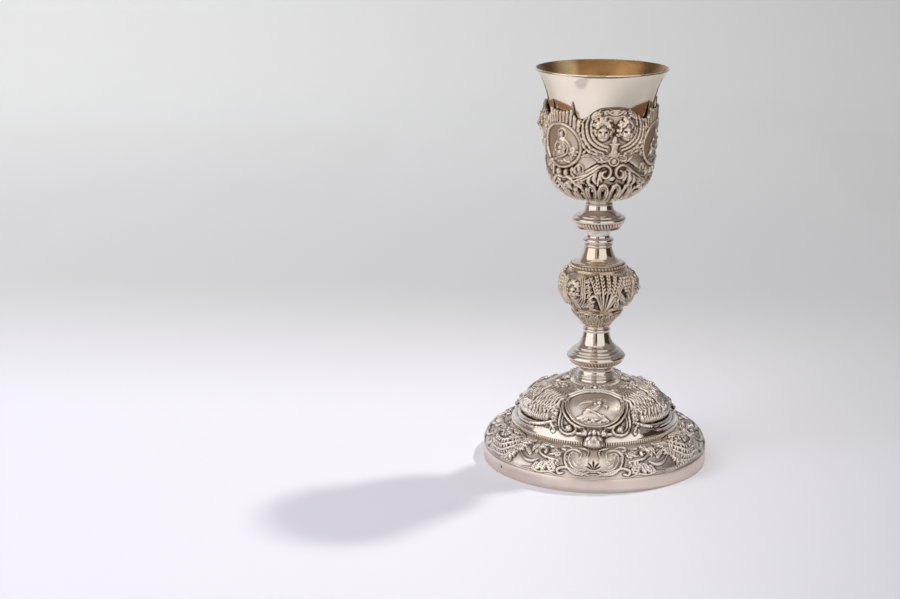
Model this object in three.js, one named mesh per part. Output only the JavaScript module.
// A silver altar chalice with a gilt-lined cup in a chased open calyx, a turned stem with
// two gadrooned knops and a chased pear-shaped node, and a domed foot on a broad flange.
// Every piece is turned about the Z axis and stands on the one below it. Sizes are in
// millimetres. The chalice stands on the XY plane, +Z runs up the stem, and its front,
// with the middle cartouche of the foot, looks along -Y.
import * as THREE from "three";

// The ornament of the foot, node and calyx comes three times round the axis.
const REPEATS = 3;
const SHEET = 1.2;
const FIT_GAP = 0.6;

// Foot base: a standing band that carries a convex flange with a flat seat for the dome.
const FOOT_RADIUS = 77.5;
const BAND_HEIGHT = 9.8;
const BAND_WALL = 2;
const BAND_LEDGE = 0.7;
const FLANGE_RISE = 15.5;
const FLANGE_SHOULDER_INSET = 4;
const FLANGE_SHOULDER_DROP = 5.3;
const SEAT_RADIUS = 58;
const SEAT_WIDTH = 5;
const CLUSTER_WIDTH = 26;
const CLUSTER_LENGTH = 18;
const CLUSTER_HEIGHT = 3;
const RAY_DEPTH = 0.7;
const SCROLL_WIDTH = 13;
const SCROLL_HEIGHT = 1.3;

// Foot dome: a milled ring, a bright convex moulding and a lobed dome with a neck.
const MILLING_HEIGHT = 2.6;
const MOULDING_RISE = 7.6;
const MOULDING_STEP = 0.8;
const DOME_RADIUS = 51.2;
const DOME_SHOULDER_RADIUS = 24;
const DOME_SHOULDER_DROP = 4.8;
const DOME_HEIGHT = 32.7;
const DOME_FULLNESS = 4.2;
const DOME_NECK_RADIUS = 13.2;
const CARTOUCHE_WIDTH = 42;
const CARTOUCHE_LENGTH = 35;
const CARTOUCHE_RAISE = 2.2;
const LOBE_WIDTH = 46;
const LOBE_LENGTH = 38;
const LOBE_HEIGHT = 3.6;
const PLUME_DEPTH = 1.3;
const FOOT_HEAD_SIZE = 14;
const FOOT_HEAD_HEIGHT = 4.4;
const CLASP_WIDTH = 13;
const CLASP_HEIGHT = 2.4;

// Lower knop: a collar, a neck, a gadrooned disc with steps and a bell.
const LOWER_COLLAR_RADIUS = 12.8;
const LOWER_COLLAR_HEIGHT = 3.6;
const LOWER_NECK_RADIUS = 11.2;
const LOWER_NECK_HEIGHT = 4.2;
const LOWER_DISC_RADIUS = 20;
const LOWER_DISC_HEIGHT = 11.7;
const LOWER_GADROON_DEPTH = 1.1;
const LOWER_STEP_RADIUS = 16;
const LOWER_STEP_HEIGHT = 3.4;
const LOWER_BELL_RADIUS = 13.4;
const LOWER_BELL_HEIGHT = 12.1;
const LOWER_BELL_TOP_RADIUS = 7.4;

// Node: a chased cup below and a chased bulb with a bell neck above.
const NODE_RING_RADIUS = 7.9;
const NODE_RING_HEIGHT = 1.5;
const NODE_CUP_RADIUS = 17.6;
const NODE_CUP_HEIGHT = 13;
const NODE_CUP_FULLNESS = 4.5;
const BULB_FOOT_RADIUS = 17.9;
const BULB_RADIUS = 25.4;
const BULB_RISE = 17;
const BULB_SHOULDER_RADIUS = 20.4;
const BULB_SHOULDER_RISE = 10;
const BULB_BAND_RADIUS = 18.4;
const BULB_BAND_HEIGHT = 4.8;
const BULB_BELL_RADIUS = 15;
const BULB_BELL_HEIGHT = 11.7;
const BULB_BELL_TOP_RADIUS = 8.8;
const NODE_TURN_DEG = -30;
const NODE_HEAD_SIZE = 13;
const NODE_HEAD_HEIGHT = 2.6;
const NODE_WING_WIDTH = 24;
const NODE_WING_LENGTH = 20;
const NODE_WING_HEIGHT = 1.3;

// Collar: two rings with a groove between them.
const COLLAR_RADIUS = 9.8;
const COLLAR_LOW_RADIUS = 9.2;
const COLLAR_GROOVE_RADIUS = 8.1;
const COLLAR_RING_HEIGHT = 2.3;
const COLLAR_GROOVE_HEIGHT = 1.8;

// Upper knop: a flared neck, a thin plate, a gadrooned disc and a spool.
const UPPER_NECK_RADIUS = 7.6;
const UPPER_FLARE_RADIUS = 8.8;
const UPPER_FLARE_HEIGHT = 5.9;
const UPPER_PLATE_RADIUS = 14.3;
const UPPER_PLATE_HEIGHT = 1.5;
const UPPER_DISC_RADIUS = 17.9;
const UPPER_DISC_HEIGHT = 8;
const UPPER_GADROON_DEPTH = 1;
const UPPER_SPOOL_RADIUS = 12.4;
const UPPER_SPOOL_HEIGHT = 9.7;
const UPPER_SPOOL_TOP_RADIUS = 8;
const UPPER_RING_RADIUS = 8.8;
const UPPER_RING_HEIGHT = 1.5;

// Calyx: an open chased cup that holds the plain one.
const CALYX_SHEET = 1;
const CALYX_FLOOR_RADIUS = 10;
const CALYX_BOWL_RADIUS = 33.6;
const CALYX_BOWL_RISE = 17.5;
const CALYX_BOWL_FULLNESS = 5.5;
const CALYX_RADIUS = 37.1;
const CALYX_HEIGHT = 66.5;
const CALYX_EDGE_WAVE = 8.5;
const CALYX_CREST_SHARE = 0.65;
const CALYX_TURN_DEG = 15;
const MEDALLION_SIZE = 32;
const MEDALLION_RISE = 42;
const MEDALLION_RAISE = 2;
const HEAD_SIZE = 12.5;
const HEAD_SPREAD = 15.4;
const HEAD_RISE = 52;
const HEAD_HEIGHT = 4.6;
const NEST_SIZE = 34;
const NEST_RISE = 47;
const NEST_RIM = 0.45;
const NEST_HEIGHT = 2.8;
const VOLUTE_SIZE = 12;
const VOLUTE_RISE = 23;
const VOLUTE_HEIGHT = 2.2;
const LOOP_DEPTH = 1.4;

// Cup: a plain beaker with a flared lip and a round bottom.
const CUP_WALL = 1.2;
const CUP_FLOOR_RADIUS = 9;
const CUP_SIDE_RADIUS = 36;
const CUP_FLARE_HEIGHT = 24;
const CUP_LIP_RADIUS = 45;
const CUP_LIP_HEIGHT = 1.2;
const CUP_HEIGHT = 88.1;

// How finely the round pieces are faceted.
const STEM_SIDES = 24;
const CUP_SIDES = 32;
const CHASED_SIDES = 16 * REPEATS;
const BULB_SIDES = 12 * REPEATS;

const SILVER = { color: 0xcfc7bd, metalness: 1, roughness: 0.28 };
const SATIN_SILVER = { color: 0xdcd2ca, metalness: 1, roughness: 0.4 };
const GILT = { color: 0xc8a46a, metalness: 1, roughness: 0.25 };

const degrees = THREE.MathUtils.degToRad;
const at = (radius, height) => new THREE.Vector2(radius, height);

// Points of a curved stretch from one outline point to the next, pulled to a corner point.
function swell(from, corner, to, steps) {
  return new THREE.QuadraticBezierCurve(from, corner, to).getPoints(steps);
}

// Outline points moved to their right-hand side, which is the bare side of the metal.
function outwardNormals(outline, closed) {
  const last = outline.length - 1;
  return outline.map((point, i) => {
    const before = outline[i > 0 ? i - 1 : closed ? last : i];
    const after = outline[i < last ? i + 1 : closed ? 0 : i];
    const along = after.clone().sub(before).normalize();
    return at(along.y, -along.x);
  });
}

// The same stretch of outline, moved into the metal by its thickness.
function insideOf(outer, wall) {
  const normals = outwardNormals(outer, false);
  return outer.map((point, i) => point.clone().addScaledVector(normals[i], -wall));
}

// Turns an outline about Z. The metal lies on the left of the outline's direction, and the
// outline starts and ends on the axis, or closes on itself. relief gives how far a point
// stands out, and reshape may move an outline point at a given angle.
function turned(outline, sides, { closed = false, relief = null, reshape = null } = {}) {
  const normals = outwardNormals(outline, closed);
  const positions = [];
  const rings = outline.map((point, i) => {
    const onAxis = !closed && (i === 0 || i === outline.length - 1);
    const ring = [];
    for (let side = 0; side < (onAxis ? 1 : sides); side++) {
      const angle = (2 * Math.PI * side) / sides;
      const moved = reshape ? reshape(angle, point) : point.clone();
      if (relief && !onAxis) moved.addScaledVector(normals[i], relief(angle, moved.clone(), i));
      const radius = onAxis ? 0 : moved.x;
      positions.push(radius * Math.sin(angle), -radius * Math.cos(angle), moved.y);
      ring.push(positions.length / 3 - 1);
    }
    return ring;
  });
  const faces = [];
  const pairs = closed ? rings.length : rings.length - 1;
  for (let i = 0; i < pairs; i++) {
    const low = rings[i];
    const high = rings[(i + 1) % rings.length];
    for (let side = 0; side < sides; side++) {
      const a = low[side % low.length];
      const b = low[(side + 1) % low.length];
      const c = high[(side + 1) % high.length];
      const d = high[side % high.length];
      if (a !== b) faces.push(a, b, c);
      if (c !== d) faces.push(a, c, d);
    }
  }
  const geometry = new THREE.BufferGeometry();
  geometry.setAttribute("position", new THREE.Float32BufferAttribute(positions, 3));
  geometry.setIndex(faces);
  geometry.computeVertexNormals();
  return geometry;
}

// Angle from the nearest repeat of an ornament whose first copy is at the given angle.
function fromRepeat(angle, first) {
  const span = (2 * Math.PI) / REPEATS;
  return angle - first - span * Math.round((angle - first) / span);
}

// Relief forms, as shares of their height: a dome, a soft mound, a flat oval and its rim.
const dome = (x, y) => Math.sqrt(Math.max(0, 1 - x * x - y * y));
const mound = (x, y) => Math.max(0, 1 - x * x - y * y);
const plateau = (x, y) => (Math.hypot(x, y) < 1 ? 1 : 0);
const rim = (x, y, width) => Math.max(0, 1 - Math.abs(Math.hypot(x, y) - 1 + width) / width);

// Flutes that come once in every second facet of a turned piece: 1 on a crest, 0 between.
const flute = (angle, sides) => (1 + Math.cos((sides / 2) * angle)) / 2;

function mesh(name, geometry, material, height) {
  const piece = new THREE.Mesh(geometry, new THREE.MeshStandardMaterial(material));
  piece.name = name;
  piece.position.z = height;
  return piece;
}

// Length along an outline from its start to each of its points.
function lengthsAlong(outline) {
  const lengths = [0];
  for (let i = 1; i < outline.length; i++) {
    lengths.push(lengths[i - 1] + outline[i].distanceTo(outline[i - 1]));
  }
  return lengths;
}

function footBase() {
  const seatHeight = BAND_HEIGHT + FLANGE_RISE;
  const flange = swell(
    at(FOOT_RADIUS - BAND_LEDGE, BAND_HEIGHT),
    at(FOOT_RADIUS - FLANGE_SHOULDER_INSET, seatHeight - FLANGE_SHOULDER_DROP),
    at(SEAT_RADIUS, seatHeight),
    6,
  );
  const underFlange = swell(
    at(FOOT_RADIUS - BAND_WALL, BAND_HEIGHT - SHEET),
    at(FOOT_RADIUS - FLANGE_SHOULDER_INSET - SHEET, seatHeight - FLANGE_SHOULDER_DROP - SHEET),
    at(SEAT_RADIUS - SHEET / 2, seatHeight - SHEET),
    2,
  );
  const outline = [
    at(FOOT_RADIUS - BAND_WALL, 0),
    at(FOOT_RADIUS, 0),
    at(FOOT_RADIUS, BAND_HEIGHT),
    ...flange,
    at(SEAT_RADIUS - SEAT_WIDTH, seatHeight),
    at(SEAT_RADIUS - SEAT_WIDTH, seatHeight - SHEET),
    ...underFlange.reverse(),
  ];
  const firstFlange = 3;
  const lastFlange = firstFlange + flange.length - 1;
  const lengths = lengthsAlong(outline);
  const middle = (lengths[firstFlange] + lengths[lastFlange]) / 2;
  const clusterTurn = Math.PI / REPEATS;
  const relief = (angle, point, i) => {
    if (i <= firstFlange || i >= lastFlange) return 0;
    const up = lengths[i] - middle;
    const toCluster = fromRepeat(angle, clusterTurn) * point.x;
    const toMiddle = Math.abs(fromRepeat(angle, 0) * point.x);
    const cluster = mound((2 * toCluster) / CLUSTER_WIDTH, (2 * up) / CLUSTER_LENGTH);
    const scroll = mound((toMiddle - SCROLL_WIDTH) / SCROLL_WIDTH, (2 * up) / CLUSTER_LENGTH);
    const rays = mound(toCluster / CLUSTER_WIDTH, (2 * up) / CLUSTER_LENGTH);
    return CLUSTER_HEIGHT * cluster + SCROLL_HEIGHT * scroll
      + RAY_DEPTH * rays * flute(angle, CHASED_SIDES);
  };
  return turned(outline, CHASED_SIDES, { closed: true, relief });
}

function footDome() {
  const mouldingRadius = SEAT_RADIUS - MOULDING_STEP;
  const domeFoot = MILLING_HEIGHT + MOULDING_RISE;
  const shoulder = at(DOME_SHOULDER_RADIUS, DOME_HEIGHT - DOME_SHOULDER_DROP);
  const moulding = swell(
    at(mouldingRadius, MILLING_HEIGHT),
    at(mouldingRadius - MOULDING_STEP, domeFoot - MOULDING_STEP),
    at(DOME_RADIUS, domeFoot),
    2,
  );
  const lobed = swell(
    at(DOME_RADIUS, domeFoot),
    at(DOME_RADIUS - DOME_FULLNESS, shoulder.y - DOME_FULLNESS),
    shoulder,
    8,
  );
  const neck = swell(
    shoulder,
    at(DOME_NECK_RADIUS, shoulder.y + MOULDING_STEP),
    at(DOME_NECK_RADIUS, DOME_HEIGHT),
    2,
  );
  const outer = [at(SEAT_RADIUS, 0), at(SEAT_RADIUS, MILLING_HEIGHT)]
    .concat(moulding, lobed.slice(1), neck.slice(1));
  const underDome = insideOf([moulding[0], ...lobed.filter((_, i) => i % 4 === 0)], SHEET);
  const inner = [
    at(0, DOME_HEIGHT - SHEET),
    at(DOME_NECK_RADIUS - SHEET, DOME_HEIGHT - SHEET),
    ...underDome.reverse(),
    at(SEAT_RADIUS - SEAT_WIDTH / 2, 0),
  ];
  const outline = [...inner, ...outer, at(0, DOME_HEIGHT)];
  const firstLobed = inner.length + 2 + moulding.length - 1;
  const lastLobed = firstLobed + lobed.length - 1;
  const lengths = lengthsAlong(outline);
  const slope = lengths[lastLobed] - lengths[firstLobed];
  const lobeTurn = Math.PI / REPEATS;
  const relief = (angle, point, i) => {
    const up = lengths[i] - lengths[firstLobed];
    const fromFront = fromRepeat(angle, 0) * point.x;
    const clasp = up < 0 && i >= inner.length
      ? CLASP_HEIGHT * dome((2 * fromFront) / CLASP_WIDTH, 0)
      : 0;
    if (i < firstLobed || i > lastLobed) return i > inner.length ? clasp : 0;
    const x = (2 * fromFront) / CARTOUCHE_WIDTH;
    const y = (2 * (up - slope / 2)) / CARTOUCHE_LENGTH;
    const cartouche = CARTOUCHE_RAISE * plateau(x, y);
    const fromLobe = fromRepeat(angle, lobeTurn) * point.x;
    const toLobe = (2 * (up - slope / 2.4)) / LOBE_LENGTH;
    const lobeShape = mound((2 * fromLobe) / LOBE_WIDTH, toLobe);
    const plumes = Math.sqrt(lobeShape) * flute(angle - lobeTurn, CHASED_SIDES);
    const toHead = (2 * (slope - FOOT_HEAD_SIZE / 2 - up)) / FOOT_HEAD_SIZE;
    const head = FOOT_HEAD_HEIGHT * dome((2 * fromLobe) / FOOT_HEAD_SIZE, toHead);
    return Math.max(cartouche, LOBE_HEIGHT * lobeShape + PLUME_DEPTH * plumes, head, clasp);
  };
  return turned(outline, CHASED_SIDES, { relief });
}

// Gadroons on the lower half of a knop's disc, between two heights.
function gadroons(from, to, depth) {
  return (angle, point) => (
    point.y > from && point.y <= to ? depth * (flute(angle, STEM_SIDES) - 1) : 0
  );
}

function lowerKnop() {
  const neckFoot = LOWER_COLLAR_HEIGHT;
  const discFoot = neckFoot + LOWER_NECK_HEIGHT;
  const discTop = discFoot + LOWER_DISC_HEIGHT;
  const bellFoot = discTop + LOWER_STEP_HEIGHT;
  const top = bellFoot + LOWER_BELL_HEIGHT;
  const discMiddle = (discFoot + discTop) / 2;
  return {
    height: top,
    relief: gadroons(discFoot, discMiddle + SHEET, LOWER_GADROON_DEPTH),
    outline: [
      at(0, 0),
      at(LOWER_COLLAR_RADIUS, 0),
      at(LOWER_COLLAR_RADIUS, LOWER_COLLAR_HEIGHT / 2),
      at(LOWER_NECK_RADIUS, neckFoot),
      at(LOWER_NECK_RADIUS, discFoot - SHEET),
      at(LOWER_COLLAR_RADIUS, discFoot),
      at(LOWER_DISC_RADIUS - SHEET, discMiddle - SHEET),
      at(LOWER_DISC_RADIUS, discMiddle + SHEET),
      at(LOWER_STEP_RADIUS, discTop),
      at(LOWER_STEP_RADIUS, (discTop + bellFoot) / 2),
      ...swell(
        at(LOWER_BELL_RADIUS, bellFoot),
        at(LOWER_BELL_TOP_RADIUS + SHEET, bellFoot + LOWER_BELL_HEIGHT / 4),
        at(LOWER_BELL_TOP_RADIUS, top),
        4,
      ),
      at(0, top),
    ],
  };
}

function nodeCup() {
  const height = NODE_RING_HEIGHT + NODE_CUP_HEIGHT;
  return {
    height,
    outline: [
      at(0, 0),
      at(NODE_RING_RADIUS, 0),
      at(NODE_RING_RADIUS, NODE_RING_HEIGHT),
      ...swell(
        at(NODE_RING_RADIUS - SHEET / 2, NODE_RING_HEIGHT),
        at(NODE_CUP_RADIUS - NODE_CUP_FULLNESS / 2, height - NODE_CUP_FULLNESS),
        at(NODE_CUP_RADIUS, height),
        5,
      ),
      at(0, height),
    ],
  };
}

function nodeBulb() {
  const shoulderFoot = BULB_RISE + BULB_SHOULDER_RISE;
  const bandTop = shoulderFoot + BULB_BAND_HEIGHT;
  const height = bandTop + BULB_BELL_HEIGHT;
  const belly = swell(
    at(BULB_FOOT_RADIUS, 0),
    at(BULB_RADIUS + SHEET, BULB_RISE / 3),
    at(BULB_RADIUS, BULB_RISE),
    5,
  ).concat(
    swell(
      at(BULB_RADIUS, BULB_RISE),
      at(BULB_RADIUS - SHEET, shoulderFoot - SHEET),
      at(BULB_SHOULDER_RADIUS, shoulderFoot),
      4,
    ).slice(1),
  );
  const outline = [
    at(0, 0),
    ...belly,
    at(BULB_BAND_RADIUS, shoulderFoot + SHEET / 2),
    at(BULB_BAND_RADIUS - SHEET, bandTop),
    ...swell(
      at(BULB_BELL_RADIUS, bandTop),
      at(BULB_BELL_TOP_RADIUS + SHEET, bandTop + BULB_BELL_HEIGHT / 4),
      at(BULB_BELL_TOP_RADIUS, height),
      3,
    ),
    at(0, height),
  ];
  const first = degrees(NODE_TURN_DEG);
  const relief = (angle, point, i) => {
    if (i <= 1 || i >= belly.length) return 0;
    const across = fromRepeat(angle, first) * point.x;
    const up = point.y - BULB_RISE;
    const head = NODE_HEAD_HEIGHT * dome((2 * across) / NODE_HEAD_SIZE, (2 * up) / NODE_HEAD_SIZE);
    const wings = NODE_WING_HEIGHT * mound((2 * across) / NODE_WING_WIDTH, (2 * up) / NODE_WING_LENGTH);
    return Math.max(head, wings);
  };
  return { height, outline, relief };
}

function collar() {
  const grooveTop = COLLAR_RING_HEIGHT + COLLAR_GROOVE_HEIGHT;
  const height = grooveTop + COLLAR_RING_HEIGHT;
  return {
    height,
    outline: [
      at(0, 0),
      at(COLLAR_GROOVE_RADIUS, 0),
      at(COLLAR_LOW_RADIUS, COLLAR_RING_HEIGHT / 2),
      at(COLLAR_GROOVE_RADIUS, COLLAR_RING_HEIGHT),
      at(COLLAR_GROOVE_RADIUS, grooveTop),
      at(COLLAR_RADIUS, grooveTop + COLLAR_RING_HEIGHT / 2),
      at(UPPER_NECK_RADIUS, height),
      at(0, height),
    ],
  };
}

function upperKnop() {
  const plateTop = UPPER_FLARE_HEIGHT + UPPER_PLATE_HEIGHT;
  const discTop = plateTop + UPPER_DISC_HEIGHT;
  const discMiddle = (plateTop + discTop) / 2;
  const spoolTop = discTop + UPPER_SPOOL_HEIGHT;
  const height = spoolTop + UPPER_RING_HEIGHT;
  return {
    height,
    relief: gadroons(plateTop, discMiddle + SHEET, UPPER_GADROON_DEPTH),
    outline: [
      at(0, 0),
      at(UPPER_NECK_RADIUS, 0),
      at(UPPER_FLARE_RADIUS, UPPER_FLARE_HEIGHT - SHEET),
      at(UPPER_PLATE_RADIUS - SHEET, UPPER_FLARE_HEIGHT),
      at(UPPER_PLATE_RADIUS, plateTop - SHEET / 2),
      at(UPPER_DISC_RADIUS - SHEET, discMiddle - SHEET),
      at(UPPER_DISC_RADIUS, discMiddle + SHEET),
      at(UPPER_DISC_RADIUS - 2 * SHEET, discTop),
      ...swell(
        at(UPPER_SPOOL_RADIUS, discTop),
        at(UPPER_SPOOL_TOP_RADIUS + SHEET / 2, discTop + UPPER_SPOOL_HEIGHT / 4),
        at(UPPER_SPOOL_TOP_RADIUS, spoolTop),
        4,
      ),
      at(UPPER_RING_RADIUS, spoolTop + UPPER_RING_HEIGHT / 2),
      at(UPPER_RING_RADIUS, height),
      at(0, height),
    ],
  };
}

// How high the calyx's edge stands at an angle: up over the heads and the medallions.
function calyxEdge(angle) {
  const heads = Math.abs(fromRepeat(angle, degrees(CALYX_TURN_DEG))) / (Math.PI / REPEATS);
  const overHeads = Math.max(0, 1 - (heads / 0.45) ** 4);
  const overMedallion = CALYX_CREST_SHARE * Math.max(0, 1 - ((1 - heads) / 0.4) ** 2);
  return CALYX_HEIGHT - CALYX_EDGE_WAVE * (1 - Math.max(overHeads, overMedallion));
}

function calyxOuter(steps) {
  return swell(
    at(CALYX_FLOOR_RADIUS, 0),
    at(CALYX_BOWL_RADIUS, CALYX_BOWL_FULLNESS),
    at(CALYX_BOWL_RADIUS, CALYX_BOWL_RISE),
    steps,
  );
}

// The side of the calyx leans out evenly from its bowl to its edge.
const calyxSide = (height) => at(
  THREE.MathUtils.mapLinear(height, CALYX_BOWL_RISE, CALYX_HEIGHT, CALYX_BOWL_RADIUS, CALYX_RADIUS),
  height,
);

function calyx() {
  const sideRows = 9;
  const outer = calyxOuter(5);
  for (let row = 1; row <= sideRows; row++) {
    outer.push(calyxSide(CALYX_BOWL_RISE + ((CALYX_HEIGHT - CALYX_BOWL_RISE) * row) / sideRows));
  }
  const innerSide = [calyxSide(CALYX_BOWL_RISE), calyxSide(CALYX_HEIGHT / 2), calyxSide(CALYX_HEIGHT)];
  const inner = insideOf([...calyxOuter(3).slice(0, -1), ...innerSide], CALYX_SHEET).reverse();
  inner[0].y = CALYX_HEIGHT;
  inner[inner.length - 1].y = CALYX_SHEET;
  const outline = [at(0, 0), ...outer, ...inner, at(0, CALYX_SHEET)];
  const headTurn = degrees(CALYX_TURN_DEG);
  const medallionTurn = headTurn + Math.PI / REPEATS;
  const relief = (angle, point, i) => {
    if (i < 2 || i >= outer.length) return 0;
    const across = (2 * fromRepeat(angle, medallionTurn) * point.x) / MEDALLION_SIZE;
    const up = (2 * (point.y - MEDALLION_RISE)) / MEDALLION_SIZE;
    const medallion = MEDALLION_RAISE * plateau(across, up);
    const fromPair = Math.abs(fromRepeat(angle, headTurn) * point.x);
    const toHead = (2 * fromPair - HEAD_SPREAD) / HEAD_SIZE;
    const head = HEAD_HEIGHT * dome(toHead, (2 * (point.y - HEAD_RISE)) / HEAD_SIZE);
    const toNest = (2 * (point.y - NEST_RISE)) / NEST_SIZE;
    const nest = NEST_HEIGHT * rim((2 * fromPair) / NEST_SIZE, toNest, NEST_RIM);
    const toVolute = (2 * (point.y - VOLUTE_RISE)) / VOLUTE_SIZE;
    const volutes = VOLUTE_HEIGHT * dome((2 * fromPair) / VOLUTE_SIZE, toVolute);
    const loops = point.y < CALYX_BOWL_RISE ? LOOP_DEPTH * flute(angle, CHASED_SIDES) : 0;
    return Math.max(medallion, head, nest, volutes, loops);
  };
  const reshape = (angle, point) => {
    if (point.y <= MEDALLION_RISE) return point.clone();
    const share = (point.y - MEDALLION_RISE) / (CALYX_HEIGHT - MEDALLION_RISE);
    return calyxSideAt(point, THREE.MathUtils.lerp(MEDALLION_RISE, calyxEdge(angle), share));
  };
  return { outline, relief, reshape };
}

// A side point of either face of the calyx, slid along the side to another height.
function calyxSideAt(point, height) {
  const offset = point.x - calyxSide(point.y).x;
  return at(calyxSide(height).x + offset, height);
}

function cup() {
  const floor = CALYX_SHEET;
  const clearance = CALYX_SHEET + FIT_GAP;
  const sideFoot = CALYX_BOWL_RISE;
  const flareFoot = CUP_HEIGHT - CUP_FLARE_HEIGHT;
  const lipFoot = CUP_HEIGHT - CUP_LIP_HEIGHT;
  const bowlRadius = CALYX_BOWL_RADIUS - clearance;
  const bowl = swell(
    at(CUP_FLOOR_RADIUS, 0),
    at(bowlRadius - SHEET, CALYX_BOWL_FULLNESS - floor + SHEET),
    at(bowlRadius, sideFoot),
    3,
  );
  const flare = swell(
    at(calyxSide(flareFoot + floor).x - clearance, flareFoot),
    at(CUP_SIDE_RADIUS, CUP_HEIGHT - CUP_FLARE_HEIGHT / 2),
    at(CUP_LIP_RADIUS - CUP_LIP_HEIGHT / 2, lipFoot),
    4,
  );
  const outer = [...bowl, ...flare];
  const inner = insideOf(outer, CUP_WALL).reverse();
  inner[0] = at(CUP_LIP_RADIUS - CUP_LIP_HEIGHT - CUP_WALL, lipFoot);
  inner[inner.length - 1].y = CUP_WALL;
  return [
    at(0, 0),
    ...outer,
    at(CUP_LIP_RADIUS, lipFoot + CUP_LIP_HEIGHT / 2),
    at(CUP_LIP_RADIUS - CUP_LIP_HEIGHT, CUP_HEIGHT),
    ...inner,
    at(0, CUP_WALL),
  ];
}

const chalice = new THREE.Group();
const domeBase = BAND_HEIGHT + FLANGE_RISE;
chalice.add(mesh("foot_base", footBase(), SATIN_SILVER, 0));
chalice.add(mesh("foot_dome", footDome(), SILVER, domeBase));

let height = domeBase + DOME_HEIGHT;
const stem = {
  lower_knop: lowerKnop(),
  node_cup: nodeCup(),
  node_bulb: nodeBulb(),
  collar: collar(),
  upper_knop: upperKnop(),
};
for (const [name, piece] of Object.entries(stem)) {
  const sides = name === "node_bulb" ? BULB_SIDES : STEM_SIDES;
  chalice.add(mesh(name, turned(piece.outline, sides, { relief: piece.relief }), SILVER, height));
  height += piece.height;
}
const { outline: calyxOutline, relief: calyxRelief, reshape: calyxReshape } = calyx();
const calyxShape = turned(calyxOutline, CHASED_SIDES, { relief: calyxRelief, reshape: calyxReshape });
chalice.add(mesh("calyx", calyxShape, SILVER, height));
chalice.add(mesh("cup", turned(cup(), CUP_SIDES), GILT, height + CALYX_SHEET));

export default chalice;
